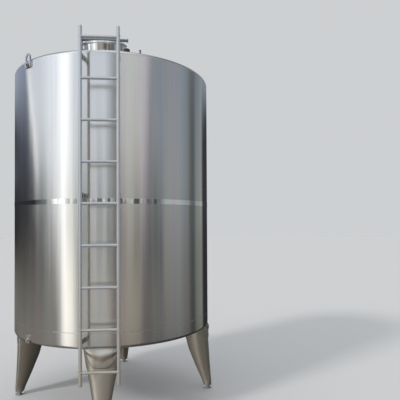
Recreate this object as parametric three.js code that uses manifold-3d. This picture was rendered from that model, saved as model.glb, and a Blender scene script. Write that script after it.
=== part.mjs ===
// Round upright stainless steel tank on four tapered legs, with a front ladder and a hinged top manhole.
// Millimetres, +Z up. The origin is on the floor, in the middle of the part's box. The ladder faces -Y.
import * as THREE from 'three';
import { mergeVertices } from 'three/addons/utils/BufferGeometryUtils.js';
import Module from 'manifold-3d';

const wasm = await Module();
wasm.setup();

// Driving dimensions of the tank body
const tankRadius = 1000;
const plate = 4;
const bottomEdge = 725;
const eaveHeight = 3300;
const knuckleRadius = 30;
const baseRingHeight = 140;
const seamHeight = 1992;
const bandHeight = 46;
const bandThickness = 1.2;
const roofSlope = THREE.MathUtils.degToRad(13);
const bottomSlope = THREE.MathUtils.degToRad(5);
const roundSides = 80;
const seatGap = 0.3;

// Driving dimensions of the bottom outlet
const drainRadius = 30;
const drainWall = 3;
const drainEnd = 560;
const ferruleRadius = 45;
const ferruleHeight = 12;

// Driving dimensions of the legs and feet
const legFootRadius = 43;
const legFootReach = 1042;
const legLowest = 36;
const collarDrop = 165;
const collarThickness = 3;
const legSides = 28;
// The leg is widest near its outer side: this is the share of its depth that lies outside the widest line.
const legWidestAt = 0.22;
// Each row is the drop below the tank's bottom edge, the leg's width across, its depth towards the axis
// and the reach of its outer side from the axis.
const legOutline = [
  [-25, 343, 270, 985],
  [0, 333, 273, 990],
  [65, 308, 274, 1004],
  [140, 278, 257, 1008],
  [165, 268, 252, 1010],
  [300, 216, 224, 1019],
  [480, 150, 163, 1030],
  [640, 98, 101, 1039],
];
const footPadRadius = 42;
const footPadHeight = 12;
const footStemRadius = 22;

// Driving dimensions of the ladder
const ladderReach = 1111.5;
const railSpacing = 312;
const railRadius = 15;
const railBottom = 458;
const railTop = 3448;
const rungCount = 9;
const rungSpacing = 348;
const topRungHeight = 3356;
const rungRadius = 12.5;
const tubeSides = 16;
const bracketLevels = { lower: 805, middle: 2038, upper: 3225 };
const bracketHeight = 42;
const bracketThickness = 8;

// Driving dimensions of the manhole and its lid
const manholeX = -25;
const manholeFromAxis = 550;
const neckRadius = 191;
const neckWall = 4;
const rimRadius = 209;
const rimBead = 9;
const rimHeight = 117;
const neckDepth = 12;
const manholeSides = 40;
const lidRadius = 198;
const lidRise = 14;
const lidPlate = 4;
const crossbarHeight = 42;
const crossbarRadius = 15.5;
const crossbarLeft = -235;
const crossbarRight = 191;
const knobGap = 12;
const knobNeckRadius = 12;
const knobRadius = 16.5;
const knobLength = 19;
const stemRadius = 20;
const hingeX = -223;
const hingePinRadius = 5;
const hingeHoleRadius = 5.3;
const hingePinStickOut = 6;
const hingeForkGap = 36;
const hingeCheek = 8;
const hingeOuter = -238;
const hingeInner = -211.5;
const hingeWebTop = 16;
const hingeFootHeight = 62;

// Driving dimensions of the lugs and the small roof fittings
const lugAzimuth = THREE.MathUtils.degToRad(-43.5);
const lugMiddle = 3284;
const lugWidth = 88;
const lugThickness = 12;
const lugHalfHeight = 65;
const lugShoulder = 10;
const lugEyeRadii = [23, 34];
const lugEyeMiddle = 14;
const lugBossRadius = 17;
const lugBossHeight = 8;
const lugBossDrop = 44;
const baseLugWidth = 62;
const baseLugHeight = 68;
const baseLugMiddle = 762;
const stubAzimuth = THREE.MathUtils.degToRad(20.4);
const stubFromAxis = 935;
const stubRadius = 8;
const stubHeight = 39;
const plugAzimuth = THREE.MathUtils.degToRad(13);
const plugFromAxis = 930;
const plugRadius = 28;
const plugHeight = 31;

// The tank's axis stands behind the origin, so that the ladder and the rear foot reach equally far.
const footCentre = legFootReach - footPadRadius;
const axisY = (ladderReach + railRadius - footCentre - footPadRadius) / 2;

const finishes = {
  mattSteel: new THREE.MeshStandardMaterial({ color: 0xb9bdc2, roughness: 0.42, metalness: 1 }),
  polishedSteel: new THREE.MeshStandardMaterial({ color: 0xdfe2e6, roughness: 0.08, metalness: 1 }),
  tubeSteel: new THREE.MeshStandardMaterial({ color: 0xc9d2dc, roughness: 0.25, metalness: 1 }),
  legSteel: new THREE.MeshStandardMaterial({ color: 0xa39d93, roughness: 0.4, metalness: 1 }),
  darkPlug: new THREE.MeshStandardMaterial({ color: 0x2b2d33, roughness: 0.6, metalness: 0 }),
};

// Six times the volume that the faces enclose, negative where they face inwards.
function signedVolume(geometry) {
  const position = geometry.attributes.position;
  const index = geometry.index.array;
  const [a, b, c] = [new THREE.Vector3(), new THREE.Vector3(), new THREE.Vector3()];
  let sum = 0;
  for (let i = 0; i < index.length; i += 3) {
    a.fromBufferAttribute(position, index[i]);
    b.fromBufferAttribute(position, index[i + 1]);
    c.fromBufferAttribute(position, index[i + 2]);
    sum += a.dot(b.cross(c));
  }
  return sum;
}

// Welds the shared corners, drops the flat triangles that this leaves, and turns the faces outwards.
function closed(geometry) {
  geometry.deleteAttribute('normal');
  geometry.deleteAttribute('uv');
  const welded = mergeVertices(geometry, 1e-3);
  const old = welded.index.array;
  const kept = [];
  for (let i = 0; i < old.length; i += 3) {
    const [a, b, c] = [old[i], old[i + 1], old[i + 2]];
    if (a !== b && b !== c && c !== a) kept.push(a, b, c);
  }
  welded.setIndex(kept);
  if (signedVolume(welded) < 0) {
    for (let i = 0; i < kept.length; i += 3) {
      [kept[i + 1], kept[i + 2]] = [kept[i + 2], kept[i + 1]];
    }
    welded.setIndex(kept);
  }
  return welded;
}

function toManifold(geometry) {
  const vertProperties = Float32Array.from(geometry.attributes.position.array);
  const triVerts = Uint32Array.from(geometry.index.array);
  return new wasm.Manifold(new wasm.Mesh({ numProp: 3, vertProperties, triVerts }));
}

function fromManifold(manifold) {
  const result = manifold.getMesh();
  const geometry = new THREE.BufferGeometry();
  geometry.setAttribute('position', new THREE.BufferAttribute(result.vertProperties, 3));
  geometry.setIndex(new THREE.BufferAttribute(result.triVerts, 1));
  return geometry;
}

function cut(geometry, ...tools) {
  let left = toManifold(geometry);
  for (const tool of tools) left = left.subtract(toManifold(tool));
  return fromManifold(left);
}

function joined(geometry, ...others) {
  let sum = toManifold(geometry);
  for (const other of others) sum = sum.add(toManifold(other));
  return fromManifold(sum);
}

// A solid of revolution about Z. The outline is [radius, height] pairs in order round it.
function turned(outline, sides) {
  const points = outline.map(([radius, height]) => new THREE.Vector2(radius, height));
  points.push(points[0].clone());
  const geometry = new THREE.LatheGeometry(points, sides);
  return closed(geometry.rotateX(Math.PI / 2));
}

function rod(radius, length, sides = tubeSides) {
  return closed(new THREE.CylinderGeometry(radius, radius, length, sides).rotateX(Math.PI / 2));
}

function block(x, y, z) {
  return closed(new THREE.BoxGeometry(x, y, z));
}

// Points on an arc of [radius, height] pairs, with the angles in degrees from the outward direction.
function arc(centre, radius, from, to, steps) {
  return Array.from({ length: steps + 1 }, (_, i) => {
    const angle = THREE.MathUtils.degToRad(from + ((to - from) * i) / steps);
    return [centre[0] + radius * Math.cos(angle), centre[1] + radius * Math.sin(angle)];
  });
}

// A solid through rings of equal point counts, with flat ends.
function lofted(rings) {
  const sides = rings[0].length;
  const points = rings.flat();
  const faces = [];
  for (let level = 0; level < rings.length - 1; level += 1) {
    for (let i = 0; i < sides; i += 1) {
      const a = level * sides + i;
      const b = level * sides + ((i + 1) % sides);
      faces.push(a, b, b + sides, a, b + sides, a + sides);
    }
  }
  const last = (rings.length - 1) * sides;
  for (let i = 1; i < sides - 1; i += 1) {
    faces.push(0, i + 1, i, last, last + i, last + i + 1);
  }
  const geometry = new THREE.BufferGeometry().setFromPoints(points);
  geometry.setIndex(faces);
  return closed(geometry);
}

const part = new THREE.Group();
const tank = new THREE.Group();
tank.position.set(0, axisY, 0);
part.add(tank);

function add(name, geometry, finish, parent = tank) {
  const mesh = new THREE.Mesh(geometry, finishes[finish]);
  mesh.name = name;
  parent.add(mesh);
  return mesh;
}

const degrees = THREE.MathUtils.radToDeg;
const knuckleCentreRadius = tankRadius - knuckleRadius;
const eaveCentre = [knuckleCentreRadius, eaveHeight - knuckleRadius];
const baseCentre = [knuckleCentreRadius, bottomEdge + knuckleRadius];
const eaveTurn = 90 - degrees(roofSlope);
const baseTurn = 90 - degrees(bottomSlope);
const knuckleSteps = 3;
const innerKnuckle = knuckleRadius - plate;

// Height of the roof's upper surface at a distance from the tank's axis.
function roofAt(radius) {
  const [edgeRadius, edgeHeight] = arc(eaveCentre, knuckleRadius, eaveTurn, eaveTurn, 1)[0];
  return edgeHeight + (edgeRadius - radius) * Math.tan(roofSlope);
}

// Height of the bottom's under surface at a distance from the tank's axis.
function bottomAt(radius) {
  const [edgeRadius, edgeHeight] = arc(baseCentre, knuckleRadius, -baseTurn, -baseTurn, 1)[0];
  return edgeHeight - (edgeRadius - radius) * Math.tan(bottomSlope);
}

function wallRing(low, high, inner, outer) {
  return turned([[inner, low], [outer, low], [outer, high], [inner, high]], roundSides);
}

function addShell() {
  const baseTop = bottomEdge + baseRingHeight;
  const inner = tankRadius - plate;
  add('shell_lower_course', wallRing(baseTop, seamHeight, inner, tankRadius), 'mattSteel');
  add('shell_upper_course', wallRing(seamHeight, eaveCentre[1], inner, tankRadius), 'mattSteel');
  const bandInner = tankRadius + seatGap;
  const bandLow = seamHeight - bandHeight / 2;
  const bandTop = seamHeight + bandHeight / 2;
  add('seam_band', wallRing(bandLow, bandTop, bandInner, bandInner + bandThickness), 'polishedSteel');
  add('top_ring', turned([
    ...arc(eaveCentre, knuckleRadius, 0, eaveTurn, knuckleSteps),
    ...arc(eaveCentre, innerKnuckle, eaveTurn, 0, knuckleSteps),
  ], roundSides), 'mattSteel');
  add('base_ring', turned([
    [tankRadius, baseTop],
    [inner, baseTop],
    ...arc(baseCentre, innerKnuckle, 0, -baseTurn, knuckleSteps),
    ...arc(baseCentre, knuckleRadius, -baseTurn, 0, knuckleSteps),
  ], roundSides), 'mattSteel');
}

// The manhole stands square to the roof, in a frame of its own whose Z is the neck's axis.
const manhole = new THREE.Group();
const roofAtManhole = roofAt(manholeFromAxis);
manhole.position.set(manholeX, -manholeFromAxis, roofAtManhole);
manhole.rotation.x = roofSlope;

// The two corners where a sloped plate meets the end of a knuckle's arc, a seat's gap away from it.
function plateEdge(centre, turn) {
  const angle = THREE.MathUtils.degToRad(Math.abs(turn));
  const inward = [-Math.sin(angle), Math.sign(turn) * Math.cos(angle)];
  return [knuckleRadius, innerKnuckle].map((radius) => {
    const end = arc(centre, radius, turn, turn, 1)[0];
    return end.map((value, i) => value + seatGap * inward[i]);
  });
}

function addRoof() {
  const [outerEdge, innerEdge] = plateEdge(eaveCentre, eaveTurn);
  const upright = plate / Math.cos(roofSlope);
  const cone = turned([outerEdge, [0, roofAt(0)], [0, roofAt(0) - upright], innerEdge], roundSides);
  const neckHole = rod(neckRadius + seatGap, 200, manholeSides);
  manhole.updateMatrix();
  neckHole.applyMatrix4(manhole.matrix);
  add('roof', cut(cone, neckHole), 'mattSteel');
}

function addBottom() {
  const [outerEdge, innerEdge] = plateEdge(baseCentre, -baseTurn);
  const hole = drainRadius + seatGap;
  const upright = plate / Math.cos(bottomSlope);
  add('tank_bottom', turned([
    outerEdge,
    innerEdge,
    [hole, bottomAt(hole) + upright],
    [hole, bottomAt(hole)],
  ], roundSides), 'mattSteel');
  const bore = drainRadius - drainWall;
  add('drain_nozzle', turned([
    [bore, bottomAt(0) + 2 * plate],
    [drainRadius, bottomAt(0) + 2 * plate],
    [drainRadius, drainEnd + ferruleHeight],
    [ferruleRadius, drainEnd + ferruleHeight],
    [ferruleRadius, drainEnd],
    [bore, drainEnd],
  ], 32), 'polishedSteel');
}

// One ring of a leg, made of two half ellipses. Its outer side lies at a reach from the tank's axis, towards -Y.
function legRing(height, width, depth, reach, widestAt) {
  const [outer, inner] = [widestAt * depth, (1 - widestAt) * depth];
  return Array.from({ length: legSides }, (_, i) => {
    const angle = (2 * Math.PI * i) / legSides;
    const x = (width / 2) * Math.sin(angle);
    const bulge = Math.cos(angle) > 0 ? outer : inner;
    return new THREE.Vector3(x, outer - reach - bulge * Math.cos(angle), height);
  });
}

function legGeometry() {
  const ring = ([drop, width, depth, reach], inset) => legRing(bottomEdge - drop, width - 2 * inset,
    depth - 2 * inset, reach - inset, legWidestAt);
  const collar = legOutline.filter(([drop]) => drop <= collarDrop).map((row) => ring(row, 0));
  const cone = legOutline.filter(([drop]) => drop >= collarDrop).map((row) => ring(row, collarThickness));
  const foot = 2 * legFootRadius;
  const tip = legRing(legLowest, foot, foot, legFootReach, 0.5);
  const leg = lofted([...collar, ...cone, tip]);
  const gap = seatGap;
  const body = turned([
    [0, bottomAt(0) - gap],
    [knuckleCentreRadius, bottomAt(knuckleCentreRadius) - gap],
    ...arc(baseCentre, knuckleRadius + gap, -baseTurn, 0, knuckleSteps),
    [tankRadius + gap, bottomEdge + baseRingHeight],
    [0, bottomEdge + baseRingHeight],
  ], roundSides);
  return cut(leg, body);
}

function addLegs() {
  const leg = legGeometry();
  const foot = turned([
    [0, 0],
    [footPadRadius - 2, 0],
    [footPadRadius, 2],
    [footPadRadius, footPadHeight - 3],
    [footPadRadius - 5, footPadHeight],
    [footStemRadius, footPadHeight + 2],
    [footStemRadius, legLowest - seatGap],
    [0, legLowest - seatGap],
  ], 24).translate(0, -footCentre, 0);
  ['front', 'right', 'rear', 'left'].forEach((side, quarter) => {
    const turn = (quarter * Math.PI) / 2;
    add(`leg_${side}`, leg, 'legSteel').rotation.z = turn;
    add(`foot_${side}`, foot, 'polishedSteel').rotation.z = turn;
  });
}

function addLadder() {
  const railLength = railTop - railBottom;
  const sides = { left: -railSpacing / 2, right: railSpacing / 2 };
  for (const [side, x] of Object.entries(sides)) {
    const rail = rod(railRadius, railLength);
    add(`ladder_rail_${side}`, rail, 'tubeSteel').position.set(x, -ladderReach, (railTop + railBottom) / 2);
  }
  const cope = (x) => rod(railRadius + seatGap, 200).translate(x, 0, 0);
  const bar = rod(rungRadius, railSpacing).rotateY(Math.PI / 2);
  const rung = cut(bar, cope(sides.left), cope(sides.right));
  for (let i = 0; i < rungCount; i += 1) {
    const height = topRungHeight - (rungCount - 1 - i) * rungSpacing;
    add(`rung_${i + 1}`, rung, 'tubeSteel').position.set(0, -ladderReach, height);
  }
  const wall = rod(tankRadius + seatGap, 200, roundSides);
  for (const [level, height] of Object.entries(bracketLevels)) {
    for (const [side, x] of Object.entries(sides)) {
      const reach = ladderReach - tankRadius / 1.05;
      const flat = block(bracketThickness, reach, bracketHeight).translate(x, reach / 2 - ladderReach, 0);
      const railCut = rod(railRadius + seatGap, 200).translate(x, -ladderReach, 0);
      const bracket = cut(flat, wall, railCut);
      add(`bracket_${side}_${level}`, bracket, 'tubeSteel').position.set(0, 0, height);
    }
  }
}

// The crossbar and everything on it lie along X, so a turned piece is tipped over from Z to X.
function alongX(geometry) {
  return geometry.rotateY(Math.PI / 2);
}

function alongY(geometry) {
  return geometry.rotateX(Math.PI / 2);
}

function hingeBracketGeometry() {
  const pinZ = rimHeight + crossbarHeight;
  const width = hingeForkGap + 2 * hingeCheek;
  const armLow = rimHeight - hingeFootHeight;
  const shape = new THREE.Shape();
  shape.moveTo(-neckRadius - 6, armLow - 14);
  shape.lineTo(hingeOuter + 16, armLow - 14);
  shape.absarc(hingeOuter + 16, armLow + 2, 16, -Math.PI / 2, -Math.PI, true);
  shape.lineTo(hingeOuter, pinZ);
  shape.absarc((hingeOuter + hingeInner) / 2, pinZ, (hingeInner - hingeOuter) / 2, Math.PI, 0, true);
  shape.lineTo(hingeInner, armLow + 14);
  shape.lineTo(-neckRadius + 10, armLow + 14);
  shape.lineTo(-neckRadius + 10, armLow - 14);
  const options = { depth: width, bevelEnabled: false, curveSegments: 6 };
  const arm = closed(new THREE.ExtrudeGeometry(shape, options).rotateX(Math.PI / 2).translate(0, width / 2, 0));
  const slotLow = rimHeight + hingeWebTop;
  const slot = block(80, hingeForkGap, 200).translate(hingeX, 0, slotLow + 100);
  const hole = alongY(rod(hingeHoleRadius, 200)).translate(hingeX, 0, pinZ);
  const neck = rod(neckRadius + seatGap, 600, manholeSides);
  return cut(arm, slot, hole, neck);
}

function addManhole() {
  tank.add(manhole);
  const inner = neckRadius - neckWall;
  const bead = [rimRadius - rimBead, rimHeight - rimBead];
  add('manhole_neck', turned([
    [inner, -neckDepth],
    [neckRadius, -neckDepth],
    [neckRadius, rimHeight - rimBead],
    ...arc(bead, rimBead, 180, 450, 9).slice(1),
    [inner, rimHeight],
  ], manholeSides), 'polishedSteel', manhole);
  const lidLow = rimHeight + seatGap;
  const domeRadius = (lidRadius ** 2 + lidRise ** 2) / (2 * lidRise);
  const dome = (lift, count, reverse) => {
    const rows = Array.from({ length: count + 1 }, (_, i) => {
      const radius = (lidRadius * i) / count;
      return [radius, lidLow + lift + lidRise - domeRadius + Math.sqrt(domeRadius ** 2 - radius ** 2)];
    });
    return reverse ? rows.reverse() : rows;
  };
  add('manhole_lid', turned([...dome(0, 5, false), ...dome(lidPlate, 5, true)], manholeSides),
    'mattSteel', manhole);
  const barZ = rimHeight + crossbarHeight;
  const stemLow = lidLow + lidRise + lidPlate + seatGap;
  const barCut = alongX(rod(crossbarRadius + seatGap, 400, 24)).translate(0, 0, barZ);
  const stemBlock = rod(stemRadius, 30, 24).translate(0, 0, stemLow + 15);
  add('lid_stem', cut(stemBlock, barCut), 'polishedSteel', manhole);
  const hingeHole = alongY(rod(hingeHoleRadius, 100)).translate(hingeX, 0, barZ);
  const knobStart = crossbarRight + knobGap;
  const knobEnd = knobStart + knobLength;
  const bar = alongX(turned([
    [0, crossbarLeft],
    [crossbarRadius, crossbarLeft],
    [crossbarRadius, crossbarRight],
    [knobNeckRadius, crossbarRight],
    [knobNeckRadius, knobStart],
    [knobRadius, knobStart],
    [knobRadius, knobEnd],
    [0, knobEnd],
  ], 24)).translate(0, 0, barZ);
  add('lid_crossbar', cut(bar, hingeHole), 'tubeSteel', manhole);
  add('hinge_bracket', hingeBracketGeometry(), 'mattSteel', manhole);
  const pinLength = hingeForkGap + 2 * hingeCheek + 2 * hingePinStickOut;
  add('hinge_pin', alongY(rod(hingePinRadius, pinLength)).translate(hingeX, 0, barZ), 'tubeSteel', manhole);
}

// A flat plate against the shell at the front, given as an outline in X and Z.
function wallPlate(shape, thickness) {
  const options = { depth: thickness, bevelEnabled: false, curveSegments: 10 };
  const plateSolid = closed(new THREE.ExtrudeGeometry(shape, options).rotateX(Math.PI / 2));
  return plateSolid.translate(0, -tankRadius - seatGap, 0);
}

function boss(x, height) {
  const length = lugThickness + lugBossHeight - 2;
  const middle = -tankRadius - seatGap - 2 - length / 2;
  return alongY(rod(lugBossRadius, length, 20)).translate(x, middle, height);
}

function addLugs() {
  const half = lugWidth / 2;
  const lug = new THREE.Shape();
  lug.moveTo(-half, -lugHalfHeight);
  lug.lineTo(half, -lugHalfHeight);
  lug.lineTo(half, lugShoulder);
  lug.absellipse(0, lugShoulder, half, lugHalfHeight - lugShoulder, 0, Math.PI, false);
  const eye = new THREE.Path();
  eye.absellipse(0, lugEyeMiddle, ...lugEyeRadii, 0, 2 * Math.PI, true);
  lug.holes.push(eye);
  const lifting = joined(wallPlate(lug, lugThickness).translate(0, 0, lugMiddle),
    boss(0, lugMiddle - lugBossDrop));
  const corner = 8;
  const low = new THREE.Shape();
  low.moveTo(-baseLugWidth / 2, -baseLugHeight / 2 + corner);
  low.lineTo(-baseLugWidth / 2 + corner, -baseLugHeight / 2);
  low.lineTo(baseLugWidth / 2 - corner, -baseLugHeight / 2);
  low.lineTo(baseLugWidth / 2, -baseLugHeight / 2 + corner);
  low.lineTo(baseLugWidth / 2, baseLugHeight / 2);
  low.lineTo(-baseLugWidth / 2, baseLugHeight / 2);
  const base = joined(wallPlate(low, lugThickness).translate(0, 0, baseLugMiddle), boss(0, baseLugMiddle));
  ['front', 'rear'].forEach((side, halfTurn) => {
    const turn = lugAzimuth + halfTurn * Math.PI;
    add(`lifting_lug_${side}`, lifting, 'tubeSteel').rotation.z = turn;
    add(`base_lug_${side}`, base, 'tubeSteel').rotation.z = turn;
  });
}

// Stands a piece on the roof, with its foot cut to the roof's slope.
function addOnRoof(name, azimuth, fromAxis, geometry, finish) {
  const under = turned([
    [0, roofAt(0) + seatGap],
    [tankRadius, roofAt(tankRadius) + seatGap],
    [tankRadius, bottomEdge],
    [0, bottomEdge],
  ], roundSides);
  const x = fromAxis * Math.sin(azimuth);
  const y = -fromAxis * Math.cos(azimuth);
  add(name, cut(geometry.translate(x, y, roofAt(fromAxis)), under), finish);
}

function addRoofFittings() {
  const stub = rod(stubRadius, 2 * stubHeight);
  addOnRoof('vent_stub', stubAzimuth, stubFromAxis, stub, 'tubeSteel');
  const plug = rod(plugRadius, 2 * plugHeight, 20);
  addOnRoof('roof_plug', plugAzimuth, plugFromAxis, plug, 'darkPlug');
}

addShell();
addRoof();
addBottom();
addLegs();
addLadder();
addManhole();
addLugs();
addRoofFittings();

export default part;
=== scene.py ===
"""Looks of the round steel tank: sheet, mirror band, welds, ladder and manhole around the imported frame."""
import math
import random

import bmesh
import bpy
import numpy as np
from mathutils import Matrix, Vector


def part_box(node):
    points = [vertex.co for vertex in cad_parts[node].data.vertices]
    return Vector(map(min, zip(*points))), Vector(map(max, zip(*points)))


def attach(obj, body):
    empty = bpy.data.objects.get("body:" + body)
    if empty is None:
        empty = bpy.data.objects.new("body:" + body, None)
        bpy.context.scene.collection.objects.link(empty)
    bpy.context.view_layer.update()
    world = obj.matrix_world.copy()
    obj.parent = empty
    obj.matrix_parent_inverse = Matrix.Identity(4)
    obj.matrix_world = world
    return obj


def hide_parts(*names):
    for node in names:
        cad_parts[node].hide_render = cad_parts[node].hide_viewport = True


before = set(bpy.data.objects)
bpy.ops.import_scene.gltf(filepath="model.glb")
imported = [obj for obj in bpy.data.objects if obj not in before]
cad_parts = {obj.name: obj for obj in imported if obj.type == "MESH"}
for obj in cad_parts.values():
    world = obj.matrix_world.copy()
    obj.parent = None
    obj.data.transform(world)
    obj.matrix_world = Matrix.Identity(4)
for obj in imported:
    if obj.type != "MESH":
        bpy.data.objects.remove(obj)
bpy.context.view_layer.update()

random.seed(7)

# Sizes of the tank in metres, read from the frame where it gives them
SHELL_LOW, SHELL_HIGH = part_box("shell_upper_course")
LOWER_LOW, LOWER_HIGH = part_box("shell_lower_course")
RADIUS = (SHELL_HIGH.x - SHELL_LOW.x) / 2
AXIS_Y = (SHELL_HIGH.y + SHELL_LOW.y) / 2
TANK_AXIS = (0, AXIS_Y)
PLATE = 0.004
SEAM_Z = LOWER_HIGH.z
BASE_RING_TOP = LOWER_LOW.z
BASE_RING_HEIGHT = 0.140
BASE_Z = BASE_RING_TOP - BASE_RING_HEIGHT
KNUCKLE = 0.030
KNUCKLE_CENTRE = RADIUS - KNUCKLE
EAVE_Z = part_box("top_ring")[0].z + KNUCKLE
COURSE_TOP = EAVE_Z - KNUCKLE
ROOF_SLOPE = math.radians(13)
BOTTOM_SLOPE = math.radians(5)
DRAIN_RADIUS = 0.030

# Small sizes that many pieces share: the gap between pieces, the ease of an edge, the sides of round shapes
GAP = 0.0003
EASE = 0.0006
ROUND = 288
TUBE_SIDES = 36
BAR_SIDES = 48

# Sizes of the manhole, in a frame of its own that stands square to the roof
MANHOLE_X = -0.025
MANHOLE_FROM_AXIS = 0.550
NECK_RADIUS = 0.191
RIM_RADIUS = 0.209
RIM_BEAD = 0.009
RIM_HEIGHT = 0.117
LID_LOW = RIM_HEIGHT + GAP
LID_RADIUS = 0.198
LID_RISE = 0.014
BAR_RADIUS = 0.0155
BAR_Z = RIM_HEIGHT + 0.042
BAR_START = -0.235
BAR_END = 0.191
DISC_START = BAR_END + 0.012
DISC_END = DISC_START + 0.019
HINGE_X = -0.223
PIN_HOLE = 0.0053


# Shapes

def full_turn(count):
    """Angles in radians, evenly spaced round a full turn."""
    return np.linspace(0, 2 * math.pi, count, endpoint=False)


def added_lengths(rows, axis):
    """Lengths along one axis of a grid that closes on itself, added up from 0."""
    closed = np.concatenate([rows, rows.take([0], axis)], axis)
    steps = np.linalg.norm(np.diff(closed, axis=axis), axis=2).max(axis=1 - axis)
    return np.concatenate([[0], np.cumsum(steps)])


class Shape:
    """Corners, faces, texture places in metres and each face's material number, gathered into one mesh."""

    def __init__(self):
        self.points = []
        self.faces = []
        self.places = []
        self.kinds = []

    def grid(self, rows, close_round=True, close_ends=False, capped=False, kind=0):
        """Adds a grid: rows[j][i] runs round with i and along with j. Returns its first point's number."""
        rows = np.asarray(rows, float)
        count, around = rows.shape[:2]
        start = len(self.points)
        self.points.extend(map(tuple, rows.reshape(-1, 3)))
        u = added_lengths(rows, 1)
        v = added_lengths(rows, 0)
        for j in range(count if close_ends else count - 1):
            below = start + j * around
            above = start + ((j + 1) % count) * around
            for i in range(around if close_round else around - 1):
                k = (i + 1) % around
                self.faces.append((below + i, below + k, above + k, above + i))
                self.places.extend([(u[i], v[j]), (u[i + 1], v[j]), (u[i + 1], v[j + 1]), (u[i], v[j + 1])])
                self.kinds.append(kind)
        if capped:
            self.cap(start, around, reverse=True, kind=kind)
            self.cap(start + (count - 1) * around, around, kind=kind)
        return start

    def cap(self, first, around, reverse=False, kind=0):
        """Closes one end of a grid with a single face."""
        ring = list(range(first, first + around))
        if reverse:
            ring.reverse()
        self.faces.append(tuple(ring))
        self.places.extend((self.points[i][0], self.points[i][1]) for i in ring)
        self.kinds.append(kind)

    def tube(self, path, radius, sides=12, closed=False, kind=0):
        """Adds a round bar along a path. The radius is one number or one for each point."""
        path = np.asarray(path, float)
        radii = np.broadcast_to(np.asarray(radius, float), (len(path),))
        if closed:
            ahead = np.roll(path, -1, axis=0) - np.roll(path, 1, axis=0)
        else:
            ahead = np.gradient(path, axis=0)
        ahead /= np.linalg.norm(ahead, axis=1)[:, None]
        side = np.cross(ahead[0], (0.0, 0.0, 1.0))
        if np.linalg.norm(side) < 0.1:
            side = np.cross(ahead[0], (0.0, 1.0, 0.0))
        turn = full_turn(sides)
        rows = []
        for place, direction, reach in zip(path, ahead, radii):
            side = side - direction * side.dot(direction)
            side /= np.linalg.norm(side)
            up = np.cross(direction, side)
            rows.append(place + reach * (np.outer(np.cos(turn), side) + np.outer(np.sin(turn), up)))
        self.grid(rows, close_ends=closed, capped=not closed, kind=kind)

    def bead(self, path, radius, closed=False, pitch=0.0045, ripple=0.13):
        """Adds a weld bead along a path, with overlapping scales and a slow drift of its thickness."""
        samples_in_scale, drift, drift_rate, least = 4, 0.06, 0.61, 0.94
        path = np.asarray(path, float)
        if closed:
            path = np.concatenate([path, path[:1]])
        far = np.concatenate([[0], np.cumsum(np.linalg.norm(np.diff(path, axis=0), axis=1))])
        samples = max(8, int(far[-1] / pitch * samples_in_scale))
        at = np.linspace(0, far[-1], samples, endpoint=not closed)
        points = np.stack([np.interp(at, far, path[:, i]) for i in range(3)], axis=1)
        scale = np.abs(np.sin(math.pi * at / pitch)) * ripple
        change = drift * np.sin(at / pitch * drift_rate + random.uniform(0, 6))
        self.tube(points, radius * (least + scale + change), sides=8, closed=closed)

    def lathe(self, outline, sides=ROUND, centre=(0.0, 0.0), kind=0, close=True, capped=False):
        """Adds a solid of revolution about Z. The outline is (radius, height) pairs in order round it."""
        turn = full_turn(sides) + math.pi / 2
        x, y = centre
        rows = [[(x + r * math.cos(t), y + r * math.sin(t), z) for t in turn] for r, z in outline]
        self.grid(rows, close_ends=close, capped=capped, kind=kind)

    def moved(self, matrix):
        self.points = [tuple(matrix @ Vector(p)) for p in self.points]
        return self

    def piece(self, name, materials, slot, body="root", replaces=(), sharp=30):
        mesh = bpy.data.meshes.new(name)
        mesh.from_pydata(self.points, [], self.faces)
        layer = mesh.uv_layers.new(name="UVMap")
        layer.data.foreach_set("uv", np.asarray(self.places, np.float32).ravel())
        mesh.polygons.foreach_set("material_index", self.kinds)
        return make_piece(name, mesh, materials, body, replaces, sharp)


def new_object(name, data):
    """An object of the scene that holds a mesh, a curve, a light or a camera."""
    thing = bpy.data.objects.new(name, data)
    bpy.context.scene.collection.objects.link(thing)
    return thing


def make_piece(name, mesh, materials, body="root", replaces=(), sharp=30):
    """Tidies a mesh, gives it its materials and sets it on a body of the frame."""
    work = bmesh.new()
    work.from_mesh(mesh)
    bmesh.ops.remove_doubles(work, verts=work.verts, dist=1e-6)
    bmesh.ops.dissolve_degenerate(work, edges=work.edges, dist=1e-7)
    bmesh.ops.recalc_face_normals(work, faces=work.faces)
    work.to_mesh(mesh)
    work.free()
    mesh.shade_smooth()
    mesh.set_sharp_from_angle(angle=math.radians(sharp))
    mesh.materials.clear()
    for material in materials if isinstance(materials, list) else [materials]:
        mesh.materials.append(material)
    piece = new_object(name, mesh)
    normals = piece.modifiers.new("normals", "WEIGHTED_NORMAL")
    normals.keep_sharp = True
    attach(piece, body)
    if replaces:
        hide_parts(*replaces)
    return piece


def softened(outline, steps=4):
    """Rounds the corners of a closed outline of (x, y, corner radius) rows."""
    result = []
    count = len(outline)
    for i, (x, y, radius) in enumerate(outline):
        here = Vector((x, y))
        if radius <= 0:
            result.append((x, y))
            continue
        before = Vector(outline[i - 1][:2]) - here
        after = Vector(outline[(i + 1) % count][:2]) - here
        half = before.angle(after) / 2
        reach = min(radius / max(math.tan(half), 1e-4), 0.49 * before.length, 0.49 * after.length)
        first = here + before.normalized() * reach
        last = here + after.normalized() * reach
        for step in range(steps + 1):
            t = step / steps
            point = first * (1 - t) ** 2 + here * 2 * t * (1 - t) + last * t ** 2
            result.append((point.x, point.y))
    return result


def arc(centre, radius, start, end, steps):
    """Points (x, y) on an arc, with angles in degrees."""
    turns = np.radians(np.linspace(start, end, steps + 1))
    return [(centre[0] + radius * math.cos(t), centre[1] + radius * math.sin(t)) for t in turns]


def circle(radius, centre=(0, 0, 0), count=48):
    """Points of a level circle."""
    x, y, z = centre
    return [(x + radius * math.cos(turn), y + radius * math.sin(turn), z) for turn in full_turn(count)]


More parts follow.
